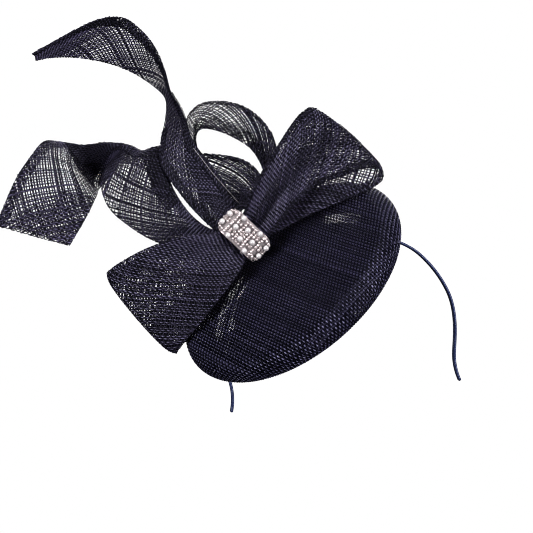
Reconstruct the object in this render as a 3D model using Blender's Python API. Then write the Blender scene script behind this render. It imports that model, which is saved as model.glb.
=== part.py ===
"""Fascinator headpiece: a blocked sinamay disc on a thin headband, trimmed with a bow,
two loops, two curled tails and a crystal band. Metres, +Z up. The origin is the middle of
the headband's inner face at the crown, the band lies in the XZ plane, and the front is -Y."""
import math

import bmesh
import bpy
from mathutils import Matrix, Vector

MM = 0.001
GAP = 0.35 * MM                       # clearance between neighbouring solids

# Headband
BAND_INNER_RADIUS = 79.2 * MM         # inside of the arch, from its centre to the flat facets
BAND_THICKNESS = 2.2 * MM
BAND_WIDTH = 5.6 * MM
SLEEVE_WALL = 0.4 * MM
CORE_THICKNESS = 0.8 * MM
CORE_WIDTH = 4.0 * MM
BAND_STEP = 4.0                       # degrees of arch in one flat facet
ARCH_END = 100.0                      # degrees from the crown where the tips flare outwards
TIP_RADIUS = 45 * MM
TIP_SWEEP = 28.5
LEFT_HINGE = -62.0                    # degrees from the crown, where the arms start to flex
RIGHT_HINGE = 22.0
HINGE_GAP = 0.3                       # degrees on each side of a flex line
ARM_SPREAD = 3.5 * MM                 # how far the right arm bulges out of the plain arc
SPREAD_RISE = (22.0, 48.0)            # degrees over which it leaves the arc
SPREAD_FALL = (70.0, 100.0)           # degrees over which it comes back
SLEEVE_CHAMFER = 0.6 * MM             # of the section's corners, outside and inside
BORE_CHAMFER = 0.4 * MM
TIP_CAP = 1.0                         # degrees of solid sleeve at a tip
CORE_SETBACK = 1.5                    # degrees between a core's end and its tip

# Blocked base
BASE_CENTRE = Vector((-33.8, -58.9, -21.8)) * MM
BASE_TURN = -52.8                     # which way the disc faces, seen from above
BASE_LIFT = 50.2                      # how far it faces upwards
BASE_SPIN = 59.7                      # turns the disc's X along the bow
BASE_RADIUS = 82.0 * MM
RIM_RADIUS = 9.2 * MM                 # the rolled rim's section radius
BASE_DISH = 2.5 * MM                  # how far the middle dips below the rim
BASE_WALL = 1.4 * MM
BASE_OPENING = 66.0 * MM              # radius of the opening underneath
BASE_SEGMENTS = 44
DISH_RINGS = 5                        # rings of facets from the middle to the rim
RIM_STEPS = 8
LINING_RADIUS = 69.0 * MM
LINING_NOTCHES = ((12.0, 44.0, 55.5 * MM), (113.0, 168.0, 49.0 * MM))   # from, to, radius there
LINING_THICKNESS = 1.0 * MM
LINING_STEP = 8.0                     # degrees of its outline in one straight side
WIRE_RADIUS = 0.6 * MM

# Bow and trim
BOW_CENTRE = Vector((-57.4, -40.6, 9.4)) * MM
BOW_TURN = -4.0
BOW_LIFT = 6.0
BOW_ROLL = 33.3
RIBBON_THICKNESS = 1.2 * MM
KNOT_PLACE = Vector((-1.4, 0.4, 0)) * MM
KNOT_TURN = 6.0                       # the wrap sits a little askew on the bow
KNOT_HEIGHT = 15.2 * MM               # half sizes of the wrapped knot
KNOT_DEPTH = 6.4 * MM
KNOT_HALF_WIDTH = 8.7 * MM
KNOT_CORNER = 5.8 * MM
KNOT_WALL = 1.0 * MM
CRYSTAL_HALF_WIDTH = 9.3 * MM
CRYSTAL_THICKNESS = 0.8 * MM
CRYSTAL_COLUMNS = 8
CRYSTAL_ROWS = 16
SEAT_MARGIN = 0.15 * MM               # between neighbouring stones
STONE_BEVEL = 0.3 * MM
STONE_HEIGHT = 1.0 * MM
PEARL_RADIUS = 1.9 * MM
PEARL_ROW_PITCH = 7.4 * MM
PEARL_PITCH = 7.6 * MM
PEARL_CLEARANCE = 2.5 * MM            # from a pearl's centre to the nearest stone's centre
THREAD_RADIUS = 0.35 * MM
BAND_STITCH_ANGLES = (-25.0, -31.0, -37.0, -43.0)
STITCH_TUCK = 0.4 * MM                # how far a band stitch ends below the band's top
STITCH_SAG = 0.1 * MM
TRIM_STITCH_FEET = ((-6, -16, -8.5), (1, -14, -13), (-3, -12.5, -17))   # mm, in the bow's frame
TRIM_STITCH = Vector((0, -1.04, -0.6)) * MM
STAY_POINTS = ((10.3, 66, -5), (9.2, 45, -5), (9.6, 18.5, -5))          # mm, in the bow's frame
STAY_RADIUS = 0.25 * MM


def clear_scene():
    for obj in list(bpy.data.objects):
        bpy.data.objects.remove(obj, do_unlink=True)


def make_material(name, colour, roughness, metallic=0.0):
    material = bpy.data.materials.new(name)
    material.use_nodes = True
    shader = material.node_tree.nodes["Principled BSDF"]
    shader.inputs["Base Color"].default_value = (*colour, 1.0)
    shader.inputs["Roughness"].default_value = roughness
    shader.inputs["Metallic"].default_value = metallic
    material.diffuse_color = (*colour, 1.0)
    return material


def add_object(name, mesh, material, parent=None, smooth_angle=40):
    obj = bpy.data.objects.new(name, mesh)
    bpy.context.scene.collection.objects.link(obj)
    mesh.materials.append(material)
    mesh.shade_smooth()
    mesh.set_sharp_from_angle(angle=math.radians(smooth_angle))
    obj.parent = parent
    return obj


def mesh_from(name, vertices, faces):
    mesh = bpy.data.meshes.new(name)
    mesh.from_pydata(vertices, [], faces)
    return finish_mesh(mesh)


def finish_mesh(mesh):
    shell = bmesh.new()
    shell.from_mesh(mesh)
    bmesh.ops.recalc_face_normals(shell, faces=shell.faces)
    shell.to_mesh(mesh)
    shell.free()
    return mesh


def frame_matrix(centre, turn, lift, roll):
    """A frame whose local Z faces (turn, lift) away from the front and whose X is rolled."""
    rotation = (
        Matrix.Rotation(math.radians(turn), 4, "Z")
        @ Matrix.Rotation(math.radians(90 - lift), 4, "X")
        @ Matrix.Rotation(math.radians(roll), 4, "Z")
    )
    return Matrix.Translation(centre) @ rotation


def add_frame(name, matrix):
    empty = bpy.data.objects.new(name, None)
    bpy.context.scene.collection.objects.link(empty)
    empty.matrix_world = matrix
    return empty


# ---------------------------------------------------------------- sweeps and ribbons

def curve_through(points, samples):
    """Catmull-Rom curve through the points, sampled evenly in its parameter."""
    last = len(points) - 1
    result = []
    for index in range(samples):
        position = last * index / (samples - 1)
        segment = min(int(position), last - 1)
        t = position - segment
        p1, p2 = points[segment], points[segment + 1]
        p0 = points[segment - 1] if segment > 0 else 2 * p1 - p2
        p3 = points[segment + 2] if segment + 2 <= last else 2 * p2 - p1
        result.append(
            0.5 * (2 * p1 + (p2 - p0) * t + (2 * p0 - 5 * p1 + 4 * p2 - p3) * t * t
                   + (3 * p1 - p0 - 3 * p2 + p3) * t ** 3)
        )
    return result


def add_ribbon(name, edges, material, parent, samples, across=3):
    """A strip of cloth between two edge curves, given as (edge, other edge) pairs in mm."""
    first = curve_through([Vector(pair[0]) * MM for pair in edges], samples)
    second = curve_through([Vector(pair[1]) * MM for pair in edges], samples)
    vertices = [
        start.lerp(end, step / across)
        for start, end in zip(first, second) for step in range(across + 1)
    ]
    row = across + 1
    faces = [
        (i * row + j, i * row + j + 1, (i + 1) * row + j + 1, (i + 1) * row + j)
        for i in range(samples - 1) for j in range(across)
    ]
    strip = add_object(name, mesh_from(name, vertices, faces), material, parent)
    solidify = strip.modifiers.new("thickness", "SOLIDIFY")
    solidify.thickness = RIBBON_THICKNESS
    solidify.offset = 0
    return strip


def add_thread(name, path, material, parent=None, radius=THREAD_RADIUS, sides=6):
    """A round thread along a path, closed at both ends."""
    vertices = []
    for index, point in enumerate(path):
        ahead = path[min(index + 1, len(path) - 1)] - path[max(index - 1, 0)]
        turn = ahead.to_track_quat("Z", "Y")
        for side in range(sides):
            angle = math.tau * side / sides
            offset = Vector((math.cos(angle), math.sin(angle), 0)) * radius
            vertices.append(point + turn @ offset)
    faces = [
        (i * sides + j, i * sides + (j + 1) % sides,
         (i + 1) * sides + (j + 1) % sides, (i + 1) * sides + j)
        for i in range(len(path) - 1) for j in range(sides)
    ]
    faces.append(tuple(range(sides)))
    faces.append(tuple(range(len(vertices) - sides, len(vertices))))
    return add_object(name, mesh_from(name, vertices, faces), material, parent)


# ---------------------------------------------------------------- headband

def smooth_step(low, high, value):
    share = min(max((value - low) / (high - low), 0.0), 1.0)
    return share * share * (3 - 2 * share)


def arm_spread(angle):
    """Distance of the right arm outside the plain arc."""
    return ARM_SPREAD * smooth_step(*SPREAD_RISE, angle) * (1 - smooth_step(*SPREAD_FALL, angle))


def band_station(angle):
    """Centre line point and outward direction of the band, angle in degrees from the crown.
    Past ARCH_END the same number of degrees runs along the flared tip."""
    side = 1 if angle >= 0 else -1
    swing = abs(angle)
    middle = BAND_INNER_RADIUS + BAND_THICKNESS / 2
    arch = math.radians(min(swing, ARCH_END))
    outward = Vector((side * math.sin(arch), 0, math.cos(arch)))
    forward = Vector((side * math.cos(arch), 0, -math.sin(arch)))
    point = outward * (middle + arm_spread(angle)) - Vector((0, 0, BAND_INNER_RADIUS))
    lean = math.atan2(arm_spread(angle + 0.5) - arm_spread(angle - 0.5), math.radians(1) * middle)
    outward = outward * math.cos(lean) - forward * math.sin(lean)
    if swing > ARCH_END:
        sweep = math.radians(swing - ARCH_END)
        pivot = point + outward * TIP_RADIUS
        radial = -outward * math.cos(sweep) + forward * math.sin(sweep)
        point = pivot + radial * TIP_RADIUS
        outward = -radial
    return point, outward


def band_angles(start, end):
    """Facet corners between two angles: on the arch they sit half a step off the crown."""
    inside = [BAND_STEP * (index + 0.5) for index in range(-40, 40)]
    return [start] + [angle for angle in inside if start + 1 < angle < end - 1] + [end]


def band_section(width, thickness, chamfer):
    """Closed section of the band as (y, outward) pairs, flat inside and rounded outside."""
    half, deep = width / 2, thickness / 2
    return [
        (half - chamfer, -deep), (half, -deep + chamfer), (half, deep - chamfer),
        (half - chamfer, deep), (-half + chamfer, deep), (-half, deep - chamfer),
        (-half, -deep + chamfer), (-half + chamfer, -deep),
    ]


def section_ring(angle, section):
    point, outward = band_station(angle)
    on_arch = abs(angle) <= ARCH_END
    stretch = 1 / math.cos(math.radians(BAND_STEP / 2)) if on_arch else 1
    centre = Vector((0, 0, -BAND_INNER_RADIUS))
    ring = []
    for y, out in section:
        corner = point + outward * out
        if on_arch:
            corner = centre + (corner - centre) * stretch
        ring.append(corner + Vector((0, y, 0)))
    return ring


def tube_faces(start, rings, sides, inward):
    faces = []
    for i in range(rings - 1):
        for j in range(sides):
            a, b = start + i * sides + j, start + i * sides + (j + 1) % sides
            quad = (a, b, b + sides, a + sides)
            faces.append(quad[::-1] if inward else quad)
    return faces


def add_core(name, start, end, material):
    angles = band_angles(start, end)
    half, deep = CORE_WIDTH / 2, CORE_THICKNESS / 2
    section = [(half, -deep), (half, deep), (-half, deep), (-half, -deep)]
    vertices = [corner for angle in angles for corner in section_ring(angle, section)]
    faces = tube_faces(0, len(angles), 4, False)
    faces += [(0, 1, 2, 3), tuple(range(len(vertices) - 4, len(vertices)))]
    return add_object(name, mesh_from(name, vertices, faces), material)


def add_sleeve(name, start, end, closed_start, closed_end, material):
    """The satin tube round the core: open where it meets its neighbour, closed at a tip."""
    outer_section = band_section(BAND_WIDTH, BAND_THICKNESS, SLEEVE_CHAMFER)
    inner_section = band_section(
        BAND_WIDTH - 2 * SLEEVE_WALL, BAND_THICKNESS - 2 * SLEEVE_WALL, BORE_CHAMFER)
    angles = band_angles(start, end)
    inner_angles = list(angles)
    if closed_start:
        inner_angles[0] = start + TIP_CAP
    if closed_end:
        inner_angles[-1] = end - TIP_CAP
    vertices = [corner for angle in angles for corner in section_ring(angle, outer_section)]
    half = len(vertices)
    vertices += [corner for angle in inner_angles for corner in section_ring(angle, inner_section)]
    count = len(angles)
    faces = tube_faces(0, count, 8, False) + tube_faces(half, count, 8, True)
    for closed, outer_first in ((closed_start, 0), (closed_end, half - 8)):
        inner_first = half + outer_first
        if closed:
            faces.append(tuple(range(outer_first, outer_first + 8)))
            faces.append(tuple(range(inner_first, inner_first + 8)))
        else:
            faces += [
                (outer_first + j, outer_first + (j + 1) % 8,
                 inner_first + (j + 1) % 8, inner_first + j) for j in range(8)
            ]
    return add_object(name, mesh_from(name, vertices, faces), material, smooth_angle=50)


def build_headband(satin, steel):
    tip = ARCH_END + TIP_SWEEP
    core_end = tip - CORE_SETBACK
    left_in, left_out = LEFT_HINGE + HINGE_GAP, LEFT_HINGE - HINGE_GAP
    right_in, right_out = RIGHT_HINGE - HINGE_GAP, RIGHT_HINGE + HINGE_GAP
    add_sleeve("band_sleeve_crown", left_in, right_in, False, False, satin)
    add_sleeve("band_sleeve_left", -tip, left_out, True, False, satin)
    add_sleeve("band_sleeve_right", right_out, tip, False, True, satin)
    add_core("band_core_crown", left_in, right_in, steel)
    add_core("band_core_left", -core_end, left_out, steel)
    add_core("band_core_right", right_out, core_end, steel)


# ---------------------------------------------------------------- blocked base

def base_profile(offset):
    """Radius and height pairs of the shell, moved inwards by offset, from the centre out."""
    rim_centre = BASE_RADIUS - RIM_RADIUS
    radius = RIM_RADIUS - offset
    profile = []
    for part in range(1, DISH_RINGS):
        reach = rim_centre * part / DISH_RINGS
        dip = BASE_DISH * (1 - (reach / rim_centre) ** 2)
        profile.append((reach, radius - dip))
    for step in range(RIM_STEPS + 1):
        angle = math.radians(90 - 180 * step / RIM_STEPS)
        profile.append((rim_centre + radius * math.cos(angle), radius * math.sin(angle)))
    profile.append((BASE_OPENING, -radius))
    return profile


def spin_profile(name, profile, centre_height, inner_profile, inner_centre):
    """Turned shell with a middle point on its outer and its inner side."""
    vertices = []
    for turn in range(BASE_SEGMENTS):
        angle = math.tau * turn / BASE_SEGMENTS
        for radius, height in profile + inner_profile[::-1]:
            vertices.append((radius * math.cos(angle), radius * math.sin(angle), height))
    row = len(profile) + len(inner_profile)
    faces = []
    for turn in range(BASE_SEGMENTS):
        here, there = turn * row, ((turn + 1) % BASE_SEGMENTS) * row
        faces += [(here + i, here + i + 1, there + i + 1, there + i) for i in range(row - 1)]
    top, bottom = len(vertices), len(vertices) + 1
    vertices += [(0, 0, centre_height), (0, 0, inner_centre)]
    for turn in range(BASE_SEGMENTS):
        here, there = turn * row, ((turn + 1) % BASE_SEGMENTS) * row
        faces.append((top, here, there))
        faces.append((bottom, there + row - 1, here + row - 1))
    return mesh_from(name, vertices, faces)


def build_base(frame, sinamay, lining_cloth, wire):
    outer, inner = base_profile(0), base_profile(BASE_WALL)
    outer_centre = RIM_RADIUS - BASE_DISH
    shell = spin_profile("base_shell", outer, outer_centre, inner, outer_centre - BASE_WALL)
    add_object("base_shell", shell, sinamay, frame, 50)
    build_lining(frame, lining_cloth)
    wire_path_radius = BASE_RADIUS - BASE_WALL - WIRE_RADIUS - GAP
    add_ring("brim_wire", wire_path_radius, WIRE_RADIUS, wire, frame)


def arc_points(radius, start, end):
    steps = math.ceil((end - start) / LINING_STEP)
    angles = [math.radians(start + (end - start) * step / steps) for step in range(steps + 1)]
    return [(radius * math.cos(angle), radius * math.sin(angle)) for angle in angles]


def build_lining(frame, lining_cloth):
    """Stiff lining that lies on the turned-in edge, notched where only sinamay is left."""
    outline = []
    behind = LINING_NOTCHES[-1][1] - 360
    for start, end, radius in LINING_NOTCHES:
        outline += arc_points(LINING_RADIUS, behind, start) + arc_points(radius, start, end)
        behind = end
    floor = -RIM_RADIUS + BASE_WALL + GAP
    sheet = bmesh.new()
    corners = [sheet.verts.new((x, y, floor)) for x, y in outline]
    face = sheet.faces.new(corners)
    lifted = bmesh.ops.extrude_face_region(sheet, geom=[face])
    moved = [item for item in lifted["geom"] if isinstance(item, bmesh.types.BMVert)]
    bmesh.ops.translate(sheet, verts=moved, vec=(0, 0, LINING_THICKNESS))
    bmesh.ops.recalc_face_normals(sheet, faces=sheet.faces)
    mesh = bpy.data.meshes.new("base_lining")
    sheet.to_mesh(mesh)
    sheet.free()
    add_object("base_lining", mesh, lining_cloth, frame)


def add_ring(name, path_radius, radius, material, frame, sides=6):
    vertices = []
    for turn in range(BASE_SEGMENTS):
        angle = math.tau * turn / BASE_SEGMENTS
        for side in range(sides):
            lean = math.tau * side / sides
            reach = path_radius + radius * math.cos(lean)
            vertices.append(
                (reach * math.cos(angle), reach * math.sin(angle), radius * math.sin(lean)))
    total = BASE_SEGMENTS * sides
    faces = []
    for turn in range(BASE_SEGMENTS):
        for side in range(sides):
            a = turn * sides + side
            b = turn * sides + (side + 1) % sides
            faces.append((a, b, (b + sides) % total, (a + sides) % total))
    return add_object(name, mesh_from(name, vertices, faces), material, frame)


def build_band_stitches(thread):
    """Thread bars that hold the band against the lining, each a C round the band."""
    side = BAND_WIDTH / 2 + THREAD_RADIUS + GAP
    low = BAND_THICKNESS / 2 + THREAD_RADIUS + GAP
    top = BAND_THICKNESS / 2 - STITCH_TUCK
    bend = side * 0.7
    corners = [
        (side, top), (side, -low / 2), (bend, -low - STITCH_SAG),
        (-bend, -low - STITCH_SAG), (-side, -low / 2), (-side, top),
    ]
    for number, angle in enumerate(BAND_STITCH_ANGLES, start=1):
        point, outward = band_station(angle)
        path = [point + outward * out + Vector((0, y, 0)) for y, out in corners]
        add_thread(f"band_stitch_{number}", path, thread)


# ---------------------------------------------------------------- bow, loops and tails
# Each pair below is (one edge, other edge) of a strip, in mm in the bow's own frame:
# X along the bow, Y up across it, Z towards the front.

BOW_LEFT = [
    ((-1.5, 10.5, 2.4), (-1.5, -11, 2.4)), ((-10, 11.5, 2.8), (-10, -12, 2.8)),
    ((-21, 18, 6), (-20, -16.5, 7)), ((-38, 28, 8), (-38, -20.5, 11)),
    ((-57, 35, 8), (-58, -24.5, 13)), ((-77, 39, 6), (-77, -27.5, 12)),
    ((-87, 40, 3), (-87, -29.5, 9)), ((-89, 40, -1), (-88, -30, 5)),
    ((-86, 39, -4), (-86, -29, 3)), ((-77, 37, -5), (-77, -26, 4)),
    ((-57, 32, -5), (-58, -21.5, 4)), ((-38, 24, -5), (-38, -17, 1)),
    ((-21, 14, -3.5), (-20, -13, -1)), ((-10, 10.5, -2.2), (-10, -11, -2.2)),
    ((-1.5, 10.5, -2.2), (-1.5, -11, -2.2)),
]
BOW_RIGHT = [
    ((1.5, 10.5, 2.4), (1.5, -11, 2.4)), ((9, 12, 2.8), (9, -10.5, 2.8)),
    ((21, 19, 6), (20, -9.5, 6.5)), ((37, 25, 9), (36, -6, 10)),
    ((56, 31, 10), (55, -6, 13)), ((75, 36, 7), (76, -13, 17)),
    ((85, 36.5, 4), (90, -18, 15)), ((88, 36, 0), (95.8, -24.2, 13)),
    ((85, 35, -5), (92, -31, 12)), ((75, 33, -8), (75, -28, 14)),
    ((56, 27, -9), (57, -22.5, 6)), ((37, 20, -7), (37, -16.5, 0)),
    ((21, 14, -4), (20, -12.5, -1)), ((9, 11, -2.2), (9, -10.5, -2.2)),
    ((1.5, 10.5, -2.2), (1.5, -10.5, -2.2)),
]
TAIL_UPPER = [
    ((-8, -15, -8.5), (8, -15, -8.5)), ((-10, 4, -8.5), (7, 6, -8.5)),
    ((-14, 16, -9.5), (6, 20, -9.5)), ((-16, 31, -11), (11, 35, -10)),
    ((-16, 50, -13), (12, 53, -10)), ((-13, 73, -16), (13, 70, -9)),
    ((-2, 86, -22), (18, 82, -7)), ((10, 97, -32), (21, 92, -5)),
    ((18, 108, -42), (23, 104, -6)), ((17, 121, -42), (29, 117, -9)),
    ((12, 136, -37), (34, 132, -12)), ((5, 148, -32), (35, 147, -13)),
    ((-3, 158, -28), (31, 163, -13)), ((-13, 168, -24), (17, 173, -12)),
    ((-24, 176, -20), (-6, 179, -12)), ((-32, 180, -17), (-31, 184, -13)),
]
TAIL_LEFT = [
    ((7, 2, -10.7), (1, -13, -10.7)), ((-5, 9, -11), (-10, -4, -10.7)),
    ((-15, 17, -13), (-25, 7, -12)), ((-19, 28, -14.5), (-38, 21, -9)),
    ((-19.5, 42, -14.5), (-49, 35.6, -5)), ((-16.5, 58, -16.5), (-55.3, 54.4, 2)),
    ((-9, 72, -21), (-57.2, 71.1, 7)), ((-5, 83, -25), (-51.8, 85.6, 5)),
    ((-16, 88, -24), (-44, 92, -2)), ((-21, 97, -23), (-38, 95, -12)),
    ((-32, 109, -28), (-38, 93, -33)),
    ((-45, 119, -37), (-50, 92, -50)), ((-55, 130, -34), (-57, 90, -42)),
    ((-62.7, 135.9, -22), (-58.3, 86.4, -24)), ((-75.4, 132.6, -12), (-60.8, 82.9, -8)),
    ((-93.7, 126, -6), (-73.3, 76.4, 0)), ((-122.3, 111.5, -4), (-93, 69, 4)),
]
LOOP_TALL = [
    ((-8, -11.5, -18), (2, -11.5, -18)), ((-8, 8, -18), (3, 8, -18)),
    ((-7, 24, -30), (4, 20, -25)), ((-3, 50, -46), (6, 40, -35)),
    ((5, 73, -57), (10, 60, -36)), ((18, 88, -58), (16, 72, -32)),
    ((32.4, 91.3, -56), (22.7, 74.5, -29)), ((44.7, 84.3, -53), (29.7, 67.3, -27)),
    ((54.7, 71.6, -49), (36.1, 54.8, -26)), ((59, 55.1, -45), (39.6, 41.5, -26)),
    ((56, 37, -40), (37, 27, -26)), ((44, 21, -34), (30, 15, -25)),
    ((27, 8, -27), (21, 1, -22.5)), ((10, 4, -20.6), (9, -6, -20.6)),
    ((-4, 4, -20.6), (-4, -6, -20.6)),
]
LOOP_LOW = [
    ((-4, -13, -13.2), (6, -13, -13.2)), ((-4, 8, -13.2), (6, 8, -13.2)),
    ((-5, 21, -18), (6, 12, -13.6)), ((-3, 40, -25), (6.6, 13.2, -14.2)),
    ((1.6, 55.8, -28), (7, 13.8, -14.8)), ((7.3, 62.5, -29), (7.8, 14.2, -15.3)),
    ((13.9, 60.2, -29), (8.8, 14.3, -15.8)), ((20.5, 53.8, -29), (9.8, 14, -16.2)),
    ((27.1, 46.2, -28), (11, 13, -16.5)), ((32.4, 36.5, -27), (12.2, 11.6, -16.8)),
    ((33, 26, -26), (13.5, 9.5, -17)), ((28, 16, -23), (13.5, 6, -17)),
    ((18, 7, -18.5), (12, 0, -16.7)), ((7, 4, -15.8), (6, -6, -15.8)),
    ((-3, 4, -15.8), (-3, -6, -15.8)),
]


def build_trim(frame, sinamay):
    add_ribbon("bow_loop_left", BOW_LEFT, sinamay, frame, 36)
    add_ribbon("bow_loop_right", BOW_RIGHT, sinamay, frame, 36)
    add_ribbon("tail_upper", TAIL_UPPER, sinamay, frame, 40)
    add_ribbon("tail_left", TAIL_LEFT, sinamay, frame, 40)
    add_ribbon("loop_tall", LOOP_TALL, sinamay, frame, 34)
    add_ribbon("loop_low", LOOP_LOW, sinamay, frame, 32)


def knot_outline(grow, corner_steps=4):
    """Rounded rectangle round the knot in (y, z), grown outwards, starting at the back."""
    height, depth = KNOT_HEIGHT + grow, KNOT_DEPTH + grow
    corner = KNOT_CORNER + grow
    centres = [
        (height - corner, depth - corner, 0), (-height + corner, depth - corner, 90),
        (-height + corner, -depth + corner, 180), (height - corner, -depth + corner, 270),
    ]
    outline = []
    for y, z, begin in centres:
        for step in range(corner_steps + 1):
            angle = math.radians(begin + 90 * step / corner_steps)
            outline.append((y + corner * math.cos(angle), z + corner * math.sin(angle)))
    return outline


def build_knot(frame, sinamay):
    outer, inner = knot_outline(0), knot_outline(-KNOT_WALL)
    sides = len(outer)
    vertices = []
    for outline in (outer, inner):
        for x in (-KNOT_HALF_WIDTH, KNOT_HALF_WIDTH):
            vertices += [(x, y, z) for y, z in outline]
    faces = []
    for j in range(sides):
        k = (j + 1) % sides
        faces.append((j, k, sides + k, sides + j))
        faces.append((2 * sides + j, 3 * sides + j, 3 * sides + k, 2 * sides + k))
        faces.append((j, 2 * sides + j, 2 * sides + k, k))
        faces.append((sides + j, sides + k, 3 * sides + k, 3 * sides + j))
    add_object("knot_wrap", mesh_from("knot_wrap", vertices, faces), sinamay, frame, 60)


def crystal_point(run, grow):
    """Point (y, z) over the front half of the knot, at a distance run from its middle."""
    corner = KNOT_CORNER + GAP
    flat = KNOT_HEIGHT - KNOT_CORNER
    arc = corner * math.pi / 2
    side = 1 if run >= 0 else -1
    along = abs(run)
    turn = min(max(along - flat, 0) / corner, math.pi / 2)
    tail = max(along - flat - arc, 0)
    reach = min(along, flat)
    y = side * (reach + (corner + grow) * math.sin(turn))
    z = KNOT_DEPTH - KNOT_CORNER + (corner + grow) * math.cos(turn) - tail
    return y, z


def pearl_places():
    """(across, along) places of the pearls: rows of two and three in turn."""
    places = []
    for row in range(-2, 3):
        columns = (-1, 0, 1) if row % 2 else (-0.5, 0.5)
        places += [(column * PEARL_PITCH, row * PEARL_ROW_PITCH) for column in columns]
    return places


def build_crystals(frame, silver):
    """Moulded mesh with its stones in one piece: a bent plate with raised facets."""
    reach = KNOT_HEIGHT - KNOT_CORNER + (KNOT_CORNER + GAP) * math.pi / 2
    plate = bmesh.new()
    layers = []
    for grow in (0.0, CRYSTAL_THICKNESS):
        rows = []
        for i in range(CRYSTAL_ROWS + 1):
            run = reach * (2 * i / CRYSTAL_ROWS - 1)
            y, z = crystal_point(run, grow)
            rows.append([
                plate.verts.new((CRYSTAL_HALF_WIDTH * (2 * j / CRYSTAL_COLUMNS - 1), y, z))
                for j in range(CRYSTAL_COLUMNS + 1)
            ])
        layers.append(rows)
    studs = []
    for i in range(CRYSTAL_ROWS):
        for j in range(CRYSTAL_COLUMNS):
            for rows in layers:
                face = plate.faces.new(
                    (rows[i][j], rows[i][j + 1], rows[i + 1][j + 1], rows[i + 1][j]))
            across = CRYSTAL_HALF_WIDTH * ((2 * j + 1) / CRYSTAL_COLUMNS - 1)
            run = reach * ((2 * i + 1) / CRYSTAL_ROWS - 1)
            if all(math.hypot(across - x, run - y) > PEARL_CLEARANCE for x, y in pearl_places()):
                studs.append(face)
    join_plate_edges(plate, layers)
    bmesh.ops.recalc_face_normals(plate, faces=plate.faces)
    bmesh.ops.inset_individual(plate, faces=studs, thickness=SEAT_MARGIN)
    bmesh.ops.inset_individual(plate, faces=studs, thickness=STONE_BEVEL, depth=STONE_HEIGHT)
    mesh = bpy.data.meshes.new("crystal_band")
    plate.to_mesh(mesh)
    plate.free()
    add_object("crystal_band", mesh, silver, frame, 20)


def join_plate_edges(plate, layers):
    lower, upper = layers
    for i in range(CRYSTAL_ROWS):
        for j in (0, CRYSTAL_COLUMNS):
            plate.faces.new((lower[i][j], lower[i + 1][j], upper[i + 1][j], upper[i][j]))
    for j in range(CRYSTAL_COLUMNS):
        for i in (0, CRYSTAL_ROWS):
            plate.faces.new((lower[i][j], lower[i][j + 1], upper[i][j + 1], upper[i][j]))


def build_pearls(frame, pearl):
    mesh = bpy.data.meshes.new("pearl")
    ball = bmesh.new()
    bmesh.ops.create_uvsphere(ball, u_segments=8, v_segments=6, radius=PEARL_RADIUS)
    ball.to_mesh(mesh)
    ball.free()
    mesh.materials.append(pearl)
    mesh.shade_smooth()
    height = CRYSTAL_THICKNESS + GAP + PEARL_RADIUS
    for number, (across, run) in enumerate(pearl_places(), start=1):
        y, z = crystal_point(run, height)
        bead = bpy.data.objects.new(f"pearl_{number:02d}", mesh)
        bpy.context.scene.collection.objects.link(bead)
        bead.parent = frame
        bead.location = (across, y, z)


def build_threads(frame, nylon, thread):
    stay = [Vector(point) * MM for point in STAY_POINTS]
    add_thread("stay_thread", stay, nylon, frame, radius=STAY_RADIUS, sides=5)
    for number, foot in enumerate(TRIM_STITCH_FEET, start=1):
        top = Vector(foot) * MM
        add_thread(f"trim_stitch_{number}", [top, top + TRIM_STITCH], thread, frame)


def main():
    clear_scene()
    sinamay = make_material("sinamay_navy", (0.012, 0.014, 0.045), 0.55)
    lining_cloth = make_material("lining_navy", (0.006, 0.007, 0.02), 0.8)
    satin = make_material("satin_navy", (0.01, 0.014, 0.06), 0.35)
    steel = make_material("spring_steel", (0.5, 0.5, 0.52), 0.3, 1.0)
    wire = make_material("millinery_wire", (0.02, 0.02, 0.05), 0.5)
    silver = make_material("crystal_silver", (0.75, 0.75, 0.78), 0.15, 1.0)
    pearl = make_material("pearl_white", (0.85, 0.84, 0.86), 0.2)
    nylon = make_material("clear_nylon", (0.7, 0.7, 0.72), 0.15)
    thread = make_material("sewing_thread", (0.01, 0.012, 0.04), 0.7)

    base_frame = add_frame("base_frame", frame_matrix(BASE_CENTRE, BASE_TURN, BASE_LIFT, BASE_SPIN))
    bow_frame = add_frame("bow_frame", frame_matrix(BOW_CENTRE, BOW_TURN, BOW_LIFT, BOW_ROLL))
    build_headband(satin, steel)
    build_base(base_frame, sinamay, lining_cloth, wire)
    build_band_stitches(thread)
    build_trim(bow_frame, sinamay)
    knot_frame = add_frame("knot_frame", Matrix.Identity(4))
    knot_frame.parent = bow_frame
    knot_frame.location = KNOT_PLACE
    knot_frame.rotation_euler = (0, 0, math.radians(KNOT_TURN))
    build_knot(knot_frame, sinamay)
    build_crystals(knot_frame, silver)
    build_pearls(knot_frame, pearl)
    build_threads(bow_frame, nylon, thread)


main()
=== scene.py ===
"""Looks of the fascinator headpiece: sinamay woven from modelled threads, a satin-wrapped
headband, and a band of silver beads and pearls. Metres, in the CAD model's frame."""
import math

import bmesh
import bpy
import numpy as np
from mathutils import Matrix, Vector


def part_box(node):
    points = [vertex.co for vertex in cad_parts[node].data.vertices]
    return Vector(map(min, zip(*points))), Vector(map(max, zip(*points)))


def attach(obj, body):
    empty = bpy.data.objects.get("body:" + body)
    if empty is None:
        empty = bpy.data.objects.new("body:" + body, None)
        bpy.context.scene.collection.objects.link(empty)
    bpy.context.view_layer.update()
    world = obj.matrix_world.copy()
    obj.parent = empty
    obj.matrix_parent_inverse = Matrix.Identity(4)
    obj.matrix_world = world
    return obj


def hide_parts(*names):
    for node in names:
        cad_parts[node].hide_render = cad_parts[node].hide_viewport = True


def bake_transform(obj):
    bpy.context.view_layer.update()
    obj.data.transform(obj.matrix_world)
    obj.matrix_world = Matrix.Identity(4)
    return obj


MM = 0.001

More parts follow.
